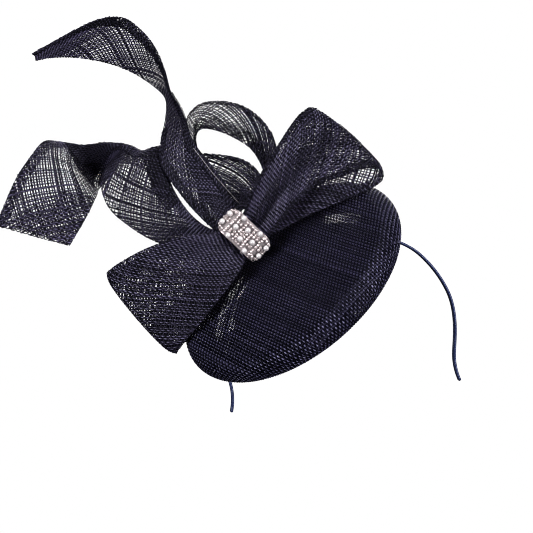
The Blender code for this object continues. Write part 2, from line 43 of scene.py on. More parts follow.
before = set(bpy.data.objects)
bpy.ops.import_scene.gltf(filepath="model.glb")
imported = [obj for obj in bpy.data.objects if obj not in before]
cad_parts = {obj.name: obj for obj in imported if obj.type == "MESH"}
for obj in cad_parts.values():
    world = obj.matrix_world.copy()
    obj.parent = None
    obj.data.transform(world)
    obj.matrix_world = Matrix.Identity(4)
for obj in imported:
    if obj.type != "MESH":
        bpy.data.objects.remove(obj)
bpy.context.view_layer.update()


# ---- frames taken from the CAD

def turned(turn, lift, roll):
    """Axes, as columns, of a frame that faces (turn, lift) from the front and is rolled."""
    spins = ((turn, "Z"), (90 - lift, "X"), (roll, "Z"))
    first, second, third = (Matrix.Rotation(math.radians(angle), 3, axis) for angle, axis in spins)
    return np.array(first @ second @ third)


def middle(node):
    low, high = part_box(node)
    return np.array((low + high) / 2)


def in_frame(points, axes, centre):
    return points @ axes.T + centre


BOW_TURN, BOW_LIFT, BOW_ROLL = -4.0, 6.0, 33.3
KNOT_TURN = 6.0
KNOT_SHIFT = np.array([-1.4, 0.4, 0.0]) * MM  # the knot's middle in the bow's frame
BOW_AXES = turned(BOW_TURN, BOW_LIFT, BOW_ROLL)
KNOT_AXES = turned(BOW_TURN, BOW_LIFT, BOW_ROLL + KNOT_TURN)
KNOT_CENTRE = middle("knot_wrap")
BOW_CENTRE = KNOT_CENTRE - BOW_AXES @ KNOT_SHIFT
BASE_AXES = turned(turn=-52.8, lift=50.2, roll=59.7)
BASE_CENTRE = middle("brim_wire")


# ---- materials

def new_material(name):
    material = bpy.data.materials.new(name)
    material.use_nodes = True
    tree = material.node_tree
    return material, tree, tree.nodes["Principled BSDF"]


def local_position(tree, axes=None):
    """Position on the piece at rest, turned into a frame when axes are given."""
    source = tree.nodes.new("ShaderNodeTexCoord").outputs["Object"]
    if axes is None:
        return source
    mapping = tree.nodes.new("ShaderNodeMapping")
    mapping.inputs["Rotation"].default_value = Matrix(axes.T.tolist()).to_euler()
    tree.links.new(source, mapping.inputs["Vector"])
    return mapping.outputs["Vector"]


def set_values(node, values):
    for name, value in values.items():
        node.inputs[name].default_value = value


def noise(tree, scale, detail=2.0):
    texture = tree.nodes.new("ShaderNodeTexNoise")
    set_values(texture, {"Scale": scale, "Detail": detail})
    tree.links.new(local_position(tree), texture.inputs["Vector"])
    return texture.outputs["Fac"]


def ridges(tree, pitch, direction, axes=None):
    """Smooth ridges every pitch metres along X, Y or Z of the given frame."""
    texture = tree.nodes.new("ShaderNodeTexWave")
    texture.bands_direction = direction
    set_values(texture, {"Scale": math.pi / 10 / pitch, "Distortion": 0.6})
    tree.links.new(local_position(tree, axes), texture.inputs["Vector"])
    return texture.outputs["Fac"]


def spread(tree, value, low, high):
    stretch = tree.nodes.new("ShaderNodeMapRange")
    set_values(stretch, {"To Min": low, "To Max": high})
    tree.links.new(value, stretch.inputs["Value"])
    return stretch.outputs["Result"]


def combined(tree, operation, first, second):
    node = tree.nodes.new("ShaderNodeMath")
    node.operation = operation
    tree.links.new(first, node.inputs[0])
    tree.links.new(second, node.inputs[1])
    return node.outputs[0]


def set_colour(tree, shader, factor, dark, light):
    mix = tree.nodes.new("ShaderNodeMix")
    mix.data_type = "RGBA"
    set_values(mix, {"A": (*dark, 1), "B": (*light, 1)})
    tree.links.new(factor, mix.inputs["Factor"])
    tree.links.new(mix.outputs["Result"], shader.inputs["Base Color"])


def set_roughness(tree, shader, scale, low, high):
    tree.links.new(spread(tree, noise(tree, scale), low, high), shader.inputs["Roughness"])


def set_bump(tree, shader, height, distance, strength=1.0):
    bump = tree.nodes.new("ShaderNodeBump")
    set_values(bump, {"Distance": distance, "Strength": strength})
    tree.links.new(height, bump.inputs["Height"])
    tree.links.new(bump.outputs["Normal"], shader.inputs["Normal"])


def thread_material(name, dark, light, roughness):
    """Stiff banana-fibre thread: each strand has its own tone, which also carries painted highlight
    and shade, squared to narrow the painted highlights; a noise makes its colour wander.
    """
    material, tree, shader = new_material(name)
    tone = tree.nodes.new("ShaderNodeAttribute")
    tone.attribute_name = "tone"
    # the tone attribute holds painted light and shade; its square narrows the painted highlights
    painted_highlight_tone = combined(tree, "MULTIPLY", tone.outputs["Fac"], tone.outputs["Fac"])
    shade = combined(tree, "MULTIPLY", painted_highlight_tone, spread(tree, noise(tree, 90), 0.5, 1.6))
    set_colour(tree, shader, shade, dark, light)
    set_roughness(tree, shader, 1200, roughness - 0.12, roughness + 0.15)
    tree.links.new(spread(tree, painted_highlight_tone, 0.04, 1.3), shader.inputs["Specular IOR Level"])
    set_values(shader, {"Specular Tint": (0.74, 0.72, 1.0, 1)})
    set_bump(tree, shader, noise(tree, 4500, 1.0), 0.05 * MM, 0.6)
    return material


def lining_material():
    """Dense plain cloth: fine warp and weft as bump, with slightly uneven dye and painted shade in
    the hollows of the weave.
    """
    material, tree, shader = new_material("lining_cloth")
    warp, weft = (ridges(tree, 0.7 * MM, direction, BASE_AXES) for direction in "XY")
    weave = combined(tree, "MULTIPLY", warp, weft)
    # painted shade: the colour darkens where the weave's bump is low
    dye_and_weave_shade = combined(tree, "MULTIPLY", spread(tree, noise(tree, 120), 0.5, 1.3),
                   spread(tree, weave, 0.35, 1.0))
    set_colour(tree, shader, dye_and_weave_shade, (0.001, 0.001, 0.003), (0.006, 0.007, 0.018))
    set_roughness(tree, shader, 300, 0.7, 0.9)
    set_bump(tree, shader, weave, 0.12 * MM)
    return material


def satin_material():
    """Navy satin ribbon: long soft sheen, fine ribs across and a faint wrinkle."""
    material, tree, shader = new_material("band_satin")
    shade = spread(tree, noise(tree, 45, 4.0), 0.1, 1.0)
    set_colour(tree, shader, shade, (0.004, 0.006, 0.022), (0.009, 0.014, 0.062))
    set_roughness(tree, shader, 260, 0.24, 0.4)
    set_values(shader, {"Specular Tint": (0.6, 0.68, 1.0, 1), "Sheen Weight": 0.12,
                        "Sheen Tint": (0.5, 0.58, 1.0, 1)})
    relief = combined(tree, "ADD", ridges(tree, 0.35 * MM, "Z"), noise(tree, 500))
    set_bump(tree, shader, relief, 0.04 * MM, 0.7)
    return material


def metal_material(name, dark, light, low, high, grain, metallic=1.0):
    material, tree, shader = new_material(name)
    set_colour(tree, shader, noise(tree, grain, 3.0), dark, light)
    set_values(shader, {"Metallic": metallic})
    set_roughness(tree, shader, 2 * grain, low, high)
    set_bump(tree, shader, noise(tree, 3 * grain, 1.0), 0.03 * MM, 0.5)
    return material


def pearl_material():
    """White glass pearl: cool body, warm clouding, a hard clear coat."""
    material, tree, shader = new_material("pearl_lustre")
    set_colour(tree, shader, noise(tree, 500), (0.48, 0.44, 0.45), (0.62, 0.59, 0.61))
    set_roughness(tree, shader, 900, 0.22, 0.34)
    set_values(shader, {"Metallic": 0.25, "Coat Weight": 0.6, "Coat Roughness": 0.08})
    set_bump(tree, shader, noise(tree, 1500, 1.0), 0.01 * MM, 0.3)
    return material


def nylon_material():
    material, tree, shader = new_material("clear_nylon")
    set_colour(tree, shader, noise(tree, 700), (0.12, 0.11, 0.13), (0.5, 0.48, 0.5))
    set_roughness(tree, shader, 900, 0.12, 0.3)
    set_values(shader, {"Transmission Weight": 0.6})
    set_bump(tree, shader, noise(tree, 2500, 1.0), 0.02 * MM, 0.4)
    return material


def twisted_material(name, dark, light):
    """Sewing thread or wrapped wire: a tight twist, with painted shade in the grooves of the twist.
    """
    material, tree, shader = new_material(name)
    twist = ridges(tree, 0.3 * MM, "DIAGONAL")
    # painted shade: the colour is darker in the twist's grooves, following the bump
    set_colour(tree, shader, twist, dark, light)
    set_roughness(tree, shader, 2000, 0.55, 0.75)
    set_bump(tree, shader, twist, 0.08 * MM)
    return material


# ---- curves, sheets and meshes

def curve_through(points, samples):
    """Catmull-Rom curve through the points, sampled evenly in its parameter."""
    points = np.asarray(points, float)
    padded = np.vstack([2 * points[0] - points[1], points, 2 * points[-1] - points[-2]])
    position = np.linspace(0, len(points) - 1, samples)
    index = np.minimum(position.astype(int), len(points) - 2)
    t = (position - index)[:, None]
    p0, p1, p2, p3 = (padded[index + k] for k in range(4))
    return 0.5 * (2 * p1 + (p2 - p0) * t + (2 * p0 - 5 * p1 + 4 * p2 - p3) * t ** 2
                  + (3 * p1 - p0 - 3 * p2 + p3) * t ** 3)


def unit(vectors):
    return vectors / np.maximum(np.linalg.norm(vectors, axis=-1, keepdims=True), 1e-12)


def smooth_step(low, high, value):
    t = np.clip((value - low) / (high - low), 0, 1)
    return t * t * (3 - 2 * t)


def sample(field, u, v):
    """Values of a grid at shares of its two lengths."""
    rows, columns = field.shape[:2]
    x = np.clip(u, 0, 1) * (rows - 1)
    y = np.clip(v, 0, 1) * (columns - 1)
    i = np.minimum(x.astype(int), rows - 2)
    j = np.minimum(y.astype(int), columns - 2)
    fx, fy = (x - i)[:, None], (y - j)[:, None]
    return ((field[i, j] * (1 - fy) + field[i, j + 1] * fy) * (1 - fx)
            + (field[i + 1, j] * (1 - fy) + field[i + 1, j + 1] * fy) * fx)


class Sheet:
    """A curved strip of cloth, held as a fine grid of points and looked up by flat distances."""

    def __init__(self, grid, width):
        self.grid = grid
        along = np.gradient(grid, axis=0)
        across = np.gradient(grid, axis=1)
        self.normal = unit(np.cross(along, across))
        steps = np.linalg.norm(np.diff(grid, axis=0), axis=2).mean(axis=1)
        self.travel = np.concatenate([[0], np.cumsum(steps)])
        self.length, self.width = self.travel[-1], width
        self.size = np.array([self.length, width])

    def at(self, flat):
        """Points and normals at (distance along, distance across)."""
        u = np.interp(flat[:, 0], self.travel, np.linspace(0, 1, len(self.travel)))
        v = flat[:, 1] / self.width
        return sample(self.grid, u, v), unit(sample(self.normal, u, v))


def ribbon_grid(edges, rows=300, columns=33):
    first, second = (curve_through(edge, rows) * MM for edge in zip(*edges))
    v = np.linspace(0, 1, columns)[None, :, None]
    return first[:, None] * (1 - v) + second[:, None] * v


def add_object(name, data):
    obj = bpy.data.objects.new(name, data)
    bpy.context.scene.collection.objects.link(obj)
    return obj


def new_piece(name, mesh, material):
    mesh.materials.append(material)
    mesh.shade_smooth()
    return add_object(name, mesh)


def place(obj, replaced):
    """Fixes a piece to the crown, in place of the CAD nodes that it replaces."""
    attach(obj, "crown")
    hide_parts(*replaced)


def plain_mesh(name, points, faces):
    mesh = bpy.data.meshes.new(name)
    mesh.from_pydata([tuple(point) for point in points], [], faces)
    return mesh


def solid_mesh(name, points, faces):
    """Mesh with doubles merged and its faces turned outwards."""
    mesh = plain_mesh(name, points, faces)
    shell = bmesh.new()
    shell.from_mesh(mesh)
    bmesh.ops.remove_doubles(shell, verts=shell.verts, dist=1e-6)
    bmesh.ops.dissolve_degenerate(shell, edges=shell.edges, dist=1e-7)
    bmesh.ops.recalc_face_normals(shell, faces=shell.faces)
    shell.to_mesh(mesh)
    shell.free()
    return mesh


def plate_faces(rows, columns, closed):
    """Quads of a plate whose top grid is followed by its bottom grid; closed rows meet."""
    total = rows * columns
    faces = []
    for i in range(rows if closed else rows - 1):
        here, there = i * columns, (i + 1) % rows * columns
        for j in range(columns - 1):
            faces.append((here + j, here + j + 1, there + j + 1, there + j))
            faces.append((total + here + j, total + there + j, total + there + j + 1,
                          total + here + j + 1))
        for j in (0, columns - 1):
            faces.append((here + j, there + j, total + there + j, total + here + j))
    if not closed:
        for i in (0, (rows - 1) * columns):
            faces += [(i + j, i + j + 1, total + i + j + 1, total + i + j)
                      for j in range(columns - 1)]
    return faces


# ---- weaving

PITCH = 1.8 * MM  # between neighbouring threads of a ribbon
THREAD_WIDTH = 1.02 * MM
THREAD_THICKNESS = 0.3 * MM
WEAVE_LIFT = 0.19 * MM  # how far a thread rises over its neighbour
LAYER_GAP = 0.5 * MM  # between the layers of a hem
SLUB_SHARE = 0.05  # threads that are thicker than the rest
HEM_PAINTED_SHADE = 0.6  # painted shade: hems are painted darker than the face and show less sheen
FLANK_PAINTED_SHADE, DEEP_PAINTED_SHADE = 0.42, 0.06  # painted shade: tone of a thread's edges and of the face turned inwards
BIAS = 40.0  # degrees between the threads and a ribbon's edge
WANDER, BASE_WANDER = 0.16, 0.06  # uneven spacing, as a share of the pitch
SWAY, SWAY_SPAN = 1.6 * MM, 14 * MM  # how far a ribbon's threads bow, and over what length
WEFT_TONES = (0.7, 1.05)  # painted sheen: weft is painted lighter than warp, standing in for its highlights
WARP_TONES = (0.1, 0.55)
SLUB_WIDTH = 1.6  # against a common thread
WIDTH_RANGE = (0.7, 1.3)  # of the threads, as a share of the mean
SHORTEST_THREAD = 0.6  # of the spacing that it crosses; shorter threads are left out
END_CLEARANCE = 0.25  # of that spacing, between a thread's last crossing and its end
FIRST_PHASE, PHASE_STEP = 0.3, 0.2  # where the threads of the layers lie, in pitches
EDGE_INSET = 0.15 * MM
EDGE_THREAD = (0.4 * MM, 0.3 * MM, 0.4)  # width, thickness and tone along a folded edge
UV_LEVELS = (0.1, 0.35, 0.65, 0.9)  # of a section's four corners, inside its thread's row


def clip_outline(start, direction, corners):
    """Range of travel for which a line stays inside a convex outline."""
    low, high = -np.inf, np.inf
    centre = corners.mean(axis=0)
    for here, there in zip(corners, np.roll(corners, -1, axis=0)):
        inward = np.array([here[1] - there[1], there[0] - here[0]])
        inward *= np.sign(inward @ (centre - here))
        rate, margin = inward @ direction, inward @ (start - here)
        if abs(rate) < 1e-9:
            if margin < 0:
                return None
        elif rate > 0:
            low = max(low, -margin / rate)
        else:
            high = min(high, -margin / rate)
    return (low, high) if high > low else None


def clip_disc(start, direction, radius):
    nearest = -start @ direction
    spare = radius ** 2 - np.sum((start + nearest * direction) ** 2)
    if spare <= 0:
        return None
    return nearest - math.sqrt(spare), nearest + math.sqrt(spare)


def lay_threads(clip, reach, pitches, angle, rng, wander, phase=0.0):
    """Both families of a plain weave: flat points, the side of the cloth each point is on and
    the family. Warp threads lie the first pitch apart and weft threads the second."""
    turn = math.radians(angle)
    axes = (np.array([math.cos(turn), math.sin(turn)]), np.array([-math.sin(turn), math.cos(turn)]))
    threads = []
    for family in (0, 1):
        run, side = axes[family], axes[1 - family]
        spacing, stride = pitches[family], pitches[1 - family]
        count = int(reach / spacing) + 2
        for index in range(-count, count + 1):
            drift = rng.normal(0, wander * spacing)
            start = side * ((index + phase) * spacing + drift)
            span = clip(start, run)
            if span is None or span[1] - span[0] < SHORTEST_THREAD * stride:
                continue
            first = math.ceil(span[0] / stride - phase + END_CLEARANCE)
            last = math.floor(span[1] / stride - phase - END_CLEARANCE)
            crossings = np.arange(first, last + 1)
            travel = np.concatenate([[span[0]], (crossings + phase) * stride, [span[1]]])
            sides = np.concatenate([[0], 1 - 2 * ((crossings + index + family) % 2), [0]])
            threads.append((start + travel[:, None] * run, sides, family))
    return threads


def thread_faces(counts):
    """Faces of tubes with four sides each, laid end to end in one list of corners."""
    faces, base = [], 0
    side = np.arange(4)[None, :]
    for count in counts:
        k = np.arange(count - 1)[:, None] * 4 + base
        quads = [k + side, k + (side + 1) % 4, k + 4 + (side + 1) % 4, k + 4 + side]
        faces.append(np.stack(quads, axis=-1).reshape(-1, 4))
        last = base + 4 * (count - 1)
        faces.append(np.array([[base + 3, base + 2, base + 1, base],
                               [last, last + 1, last + 2, last + 3]]))
        base += 4 * count
    return np.vstack(faces)


def painted_corner_shade(tone, sides):
    """Tone at the four corners of each section, painted light and shade: the face the thread floats
    on is painted lit, and the face turned into the weave is painted dark, a painted shade of its
    hollows."""
    float_share = (1 + sides) / 2
    flank = np.full_like(float_share, FLANK_PAINTED_SHADE)
    front = DEEP_PAINTED_SHADE + (1 - DEEP_PAINTED_SHADE) * float_share
    back = DEEP_PAINTED_SHADE + (1 - DEEP_PAINTED_SHADE) * (1 - float_share)
    return tone * np.stack([flank, front, flank, back], axis=1).ravel()


def quad_mesh(name, points, faces):
    mesh = bpy.data.meshes.new(name)
    mesh.vertices.add(len(points))
    mesh.vertices.foreach_set("co", points.astype(np.float32).ravel())
    mesh.loops.add(faces.size)
    mesh.loops.foreach_set("vertex_index", faces.ravel().astype(np.int32))
    mesh.polygons.add(len(faces))
    mesh.polygons.foreach_set("loop_start", np.arange(0, faces.size, 4, dtype=np.int32))
    mesh.update(calc_edges=True)
    return mesh


def thread_mesh(name, strands, material):
    """One mesh of flat tubes from strands of (points, normals, width, thickness, tone, sides)."""
    corners, uvs, tones = [], [], []
    longest = max(len(strand[0]) for strand in strands)
    for number, (points, normals, width, thickness, tone, sides) in enumerate(strands):
        tangent = unit(np.gradient(points, axis=0))
        side = unit(np.cross(normals, tangent))
        upright = np.cross(tangent, side)
        out, up = side * (width / 2), upright * (thickness / 2)
        ring = [points + out, points + up, points - out, points - up]
        corners.append(np.stack(ring, axis=1).reshape(-1, 3))
        along = np.repeat(np.arange(len(points)) / longest, 4)
        level = (number + np.tile(UV_LEVELS, len(points))) / len(strands)
        uvs.append(np.stack([along, level], axis=1))
        # the tones carry painted light: lit floats, half-shaded flanks and dark inward faces
        tones.append(painted_corner_shade(tone, sides))
    faces = thread_faces([len(strand[0]) for strand in strands])
    mesh = quad_mesh(name, np.vstack(corners), faces)
    layer = mesh.uv_layers.new(name="OFBake")
    layer.data.foreach_set("uv", np.vstack(uvs)[faces.ravel()].astype(np.float32).ravel())
    attribute = mesh.attributes.new("tone", "FLOAT", "POINT")
    attribute.data.foreach_set("value", np.concatenate(tones).astype(np.float32))
    return new_piece(name, mesh, material)


def thread_tone(family, rng):
    return rng.uniform(*(WEFT_TONES if family else WARP_TONES))


def thread_width(rng):
    slub = SLUB_WIDTH if rng.random() < SLUB_SHARE else 1.0
    return slub * rng.uniform(*WIDTH_RANGE)


def woven_patch(sheet, corners, offset, angle, rng, phase=0.0, painted_dim=1.0, body=1.0, coarse=1.0):
    """Threads of one layer inside an outline on a sheet; they bow gently between its edges."""
    swing = rng.uniform(0, math.tau)
    strands = []
    laid = lay_threads(lambda start, run: clip_outline(start, run, corners), sum(sheet.size),
                       (coarse * PITCH, coarse * PITCH), angle, rng, WANDER, phase)
    for flat, sides, family in laid:
        bow = np.sin(math.pi * flat[:, 1] / sheet.width)
        flat[:, 0] += SWAY * bow * np.sin(flat[:, 0] / SWAY_SPAN + swing)
        points, normals = sheet.at(flat)
        points = points + normals * (offset + sides[:, None] * WEAVE_LIFT)
        # a dimmed layer is painted darker, a painted shade of the layers lying behind
        strands.append((points, normals, coarse * body * THREAD_WIDTH * thread_width(rng),
                        THREAD_THICKNESS, painted_dim * thread_tone(family, rng), sides))
    return strands


def edge_strand(sheet, level):
    """The thread that runs along a folded edge."""
    travel = np.linspace(0, sheet.length, 200)
    points, normals = sheet.at(np.stack([travel, np.full_like(travel, level)], axis=1))
    return (points, normals, *EDGE_THREAD, np.zeros(len(points)))


FIRST, SECOND = 0, 1  # the two edges of a strip
WHOLE = np.array([(0, 0), (1, 0), (1, 1), (0, 1)])


def hem(edge, near, far, start=0, end=1, side=-1, body=1):
    """Layer between two distances in mm from one edge, over part of the length."""
    def outline(width):
        inner, outer = abs(edge - near / width), abs(edge - far / width)
        return [(start, inner), (end, inner), (end, outer), (start, outer)]

    return outline, side, body


def woven_ribbon(name, node, edges, width, layers, seed, pleat=None, coarse=1.0):
    """A strip of sinamay, its width in mm. Each extra layer has an outline with its corners as
    shares of length and width, the side it lies on and how stout its threads are. A coarse strip
    has wider spaced and stouter threads."""
    rng = np.random.default_rng(seed)
    grid = ribbon_grid(edges)
    if pleat is not None:
        grid = pleated(grid, pleat)
    sheet = Sheet(in_frame(grid, BOW_AXES, BOW_CENTRE), width * MM)
    strands = woven_patch(sheet, WHOLE * sheet.size, 0, BIAS, rng, coarse=coarse)
    for number, (outline, side, body) in enumerate(layers):
        corners = np.array(outline(width) if callable(outline) else outline) * sheet.size
        phase = FIRST_PHASE + PHASE_STEP * number
        strands += woven_patch(sheet, corners, side * LAYER_GAP, -BIAS, rng, phase, HEM_PAINTED_SHADE, body,
                               coarse)
    strands += [edge_strand(sheet, level) for level in (EDGE_INSET, sheet.width - EDGE_INSET)]
    place(thread_mesh(name, strands, SINAMAY), (node,))


# Each pair is (one edge, other edge) of a strip, in mm in the bow's frame: X along the bow,
# Y up across it, Z towards the front.
BOW_LEFT = [
    ((-1.5, 10.5, 2.4), (-1.5, -11, 2.4)), ((-10, 11.5, 2.8), (-10, -12, 2.8)),
    ((-21, 18, 6), (-20, -16.5, 7)), ((-38, 28, 8), (-38, -20.5, 11)),
    ((-57, 35, 8), (-58, -24.5, 13)), ((-77, 39, 6), (-77, -27.5, 12)),
    ((-87, 40, 3), (-87, -29.5, 9)), ((-89, 40, -1), (-88, -30, 5)),
    ((-86, 39, -4), (-86, -29, 3)), ((-77, 37, -5), (-77, -26, 4)),
    ((-57, 32, -5), (-58, -21.5, 4)), ((-38, 24, -5), (-38, -17, 1)),
    ((-21, 14, -3.5), (-20, -13, -1)), ((-10, 10.5, -2.2), (-10, -11, -2.2)),
    ((-1.5, 10.5, -2.2), (-1.5, -11, -2.2)),
]
BOW_RIGHT = [
    ((1.5, 10.5, 2.4), (1.5, -11, 2.4)), ((9, 12, 2.8), (9, -10.5, 2.8)),
    ((21, 19, 6), (20, -9.5, 6.5)), ((37, 25, 9), (36, -6, 10)),
    ((56, 31, 10), (55, -6, 13)), ((75, 36, 7), (76, -13, 17)),
    ((85, 36.5, 4), (90, -18, 15)), ((88, 36, 0), (95.8, -24.2, 13)),
    ((85, 35, -5), (92, -31, 12)), ((75, 33, -8), (75, -28, 14)),
    ((56, 27, -9), (57, -22.5, 6)), ((37, 20, -7), (37, -16.5, 0)),
    ((21, 14, -4), (20, -12.5, -1)), ((9, 11, -2.2), (9, -10.5, -2.2)),
    ((1.5, 10.5, -2.2), (1.5, -10.5, -2.2)),
]
TAIL_UPPER = [
    ((-8, -15, -8.5), (8, -15, -8.5)), ((-10, 4, -8.5), (7, 6, -8.5)),
    ((-14, 16, -9.5), (6, 20, -9.5)), ((-16, 31, -11), (11, 35, -10)),
    ((-16, 50, -13), (12, 53, -10)), ((-13, 73, -16), (13, 70, -9)),
    ((-2, 86, -22), (18, 82, -7)), ((10, 97, -32), (21, 92, -5)),
    ((18, 108, -42), (23, 104, -6)), ((17, 121, -42), (29, 117, -9)),
    ((12, 136, -37), (34, 132, -12)), ((5, 148, -32), (35, 147, -13)),
    ((-3, 158, -28), (31, 163, -13)), ((-13, 168, -24), (17, 173, -12)),
    ((-24, 176, -20), (-6, 179, -12)), ((-32, 180, -17), (-31, 184, -13)),
]
TAIL_LEFT = [
    ((7, 2, -10.7), (1, -13, -10.7)), ((-5, 9, -11), (-10, -4, -10.7)),
    ((-15, 17, -13), (-25, 7, -12)), ((-19, 28, -14.5), (-38, 21, -9)),
    ((-19.5, 42, -14.5), (-49, 35.6, -5)), ((-16.5, 58, -16.5), (-55.3, 54.4, 2)),
    ((-9, 72, -21), (-57.2, 71.1, 7)), ((-5, 83, -25), (-51.8, 85.6, 5)),
    ((-16, 88, -24), (-44, 92, -2)), ((-21, 97, -23), (-38, 95, -12)),
    ((-32, 109, -28), (-38, 93, -33)), ((-45, 119, -37), (-50, 92, -50)),
    ((-55, 130, -34), (-57, 90, -42)), ((-62.7, 135.9, -22), (-58.3, 86.4, -24)),
    ((-75.4, 132.6, -12), (-60.8, 82.9, -8)), ((-93.7, 126, -6), (-73.3, 76.4, 0)),
    ((-122.3, 111.5, -4), (-93, 69, 4)),
]
LOOP_TALL = [
    ((-8, -11.5, -18), (2, -11.5, -18)), ((-8, 8, -18), (3, 8, -18)),
    ((-7, 24, -30), (4, 20, -25)), ((-3, 50, -46), (6, 40, -35)),
    ((5, 73, -57), (10, 60, -36)), ((18, 88, -58), (16, 72, -32)),
    ((32.4, 91.3, -56), (22.7, 74.5, -29)), ((44.7, 84.3, -53), (29.7, 67.3, -27)),
    ((54.7, 71.6, -49), (36.1, 54.8, -26)), ((59, 55.1, -45), (39.6, 41.5, -26)),
    ((56, 37, -40), (37, 27, -26)), ((44, 21, -34), (30, 15, -25)),
    ((27, 8, -27), (21, 1, -22.5)), ((10, 4, -20.6), (9, -6, -20.6)),
    ((-4, 4, -20.6), (-4, -6, -20.6)),
]
LOOP_LOW = [
    ((-4, -13, -13.2), (6, -13, -13.2)), ((-4, 8, -13.2), (6, 8, -13.2)),
    ((-5, 21, -18), (6, 12, -13.6)), ((-3, 40, -25), (6.6, 13.2, -14.2)),
    ((1.6, 55.8, -28), (7, 13.8, -14.8)), ((7.3, 62.5, -29), (7.8, 14.2, -15.3)),
    ((13.9, 60.2, -29), (8.8, 14.3, -15.8)), ((20.5, 53.8, -29), (9.8, 14, -16.2)),
    ((27.1, 46.2, -28), (11, 13, -16.5)), ((32.4, 36.5, -27), (12.2, 11.6, -16.8)),
    ((33, 26, -26), (13.5, 9.5, -17)), ((28, 16, -23), (13.5, 6, -17)),
    ((18, 7, -18.5), (12, 0, -16.7)), ((7, 4, -15.8), (6, -6, -15.8)),
    ((-3, 4, -15.8), (-3, -6, -15.8)),
]
FOLD_OUTLINE = [(0.5, 0), (0.52, 0.3), (0.61, 0.59), (0.73, 1), (0.748, 0.9), (0.718, 0.55),
                (0.705, 0)]
BOW_LEFT_LAYERS = [hem(FIRST, 0, 9), hem(SECOND, 0, 23)]
BOW_RIGHT_LAYERS = [
    hem(FIRST, 0, 4), hem(FIRST, 22, 42, end=0.5, body=0.3),
    hem(SECOND, 0, 5), hem(FIRST, 16, 30, start=0.55, body=0.4),
]
TAIL_UPPER_LAYERS = [
    hem(FIRST, 0, 9, end=0.45), hem(SECOND, 0, 8.5), hem(SECOND, 3.5, 8.5, side=1),
    ([(0.3, 0), (0.3, 1), (0.54, 1), (0.54, 0)], 2, 0.3),
]
TAIL_LEFT_LAYERS = [
    hem(FIRST, 0, 10, end=0.5), hem(FIRST, 2, 17, 0.26, 0.52, side=1),
    hem(FIRST, 3, 17, 0.3, 0.52, side=2), hem(FIRST, 14, 52, 0.2, 0.52, side=1, body=0.3),
    (FOLD_OUTLINE, -1, 1), (FOLD_OUTLINE, 1, 0.6),
    ([(0.51, 0), (0.55, 0.3), (0.62, 0.5), (0.69, 0.5), (0.69, 0)], 2, 1),
    hem(FIRST, 0, 7, start=0.7),
    ([(0.76, 1), (0.86, 0.6), (0.91, 0.15), (0.93, 0), (1, 0), (1, 1)], -1, 0.6),
]
LOOP_TALL_LAYERS = [
    hem(FIRST, 0, 4), hem(SECOND, 0, 4), hem(SECOND, 4, 13, start=0.45, body=0.6),
]
LOOP_LOW_LAYERS = [hem(FIRST, 0, 4), hem(SECOND, 0, 14, body=0.8)]
FOLD_BULGE = 2.0 * MM  # how far the middle of a bow loop's end stands out
CORNER_ROUNDING = 3.0 * MM  # how far its corners are drawn in
LOOP_END = (45, 88)  # mm from the knot over which that shape comes in
PLEAT_DEPTH = 1.1 * MM
PLEATS, FINE_PLEATS = 2.6, 4.3  # waves across the ribbon
FINE_SHARE, BACK_SHARE, START_SHARE = 0.4, 0.4, 0.35  # of the full depth
PLEAT_RISE, PLEAT_FADE = (2, 14), (12, 66)  # mm from the knot


def pleated(grid, shift):
    """Gathers a bow loop towards the knot: folds run out from the knot and fade away."""
    rows, columns = grid.shape[:2]
    v = np.linspace(0, 1, columns)[None, :]
    distance = np.abs(grid[..., 0]) / MM
    rise = START_SHARE + (1 - START_SHARE) * smooth_step(*PLEAT_RISE, distance)
    strength = (1 - smooth_step(*PLEAT_FADE, distance)) * rise
    back = (np.linspace(0, 1, rows) > 0.5)[:, None]
    waves = (np.sin(math.tau * (PLEATS * v + shift))
             + FINE_SHARE * np.sin(math.tau * (FINE_PLEATS * v + 0.3)))
    folded = grid.copy()
    folded[..., 2] += waves * strength * np.where(back, BACK_SHARE, 1.0) * PLEAT_DEPTH
    bulge = 4 * v * (1 - v) * FOLD_BULGE - np.abs(2 * v - 1) ** 10 * CORNER_ROUNDING
    folded[..., 0] += np.sign(grid[..., 0]) * smooth_step(*LOOP_END, distance) * bulge
    return folded


def build_ribbons():
    woven_ribbon("bow_left_weave", "bow_loop_left", BOW_LEFT, 68, BOW_LEFT_LAYERS, 11, pleat=-0.12)
    woven_ribbon("bow_right_weave", "bow_loop_right", BOW_RIGHT, 64, BOW_RIGHT_LAYERS, 12, pleat=0.12)
    woven_ribbon("tail_upper_weave", "tail_upper", TAIL_UPPER, 42, TAIL_UPPER_LAYERS, 13)
    woven_ribbon("tail_left_weave", "tail_left", TAIL_LEFT, 52, TAIL_LEFT_LAYERS, 14)
    woven_ribbon("loop_tall_weave", "loop_tall", LOOP_TALL, 33, LOOP_TALL_LAYERS, 15, coarse=1.25)
    woven_ribbon("loop_low_weave", "loop_low", LOOP_LOW, 44, LOOP_LOW_LAYERS, 16)


# ---- blocked base

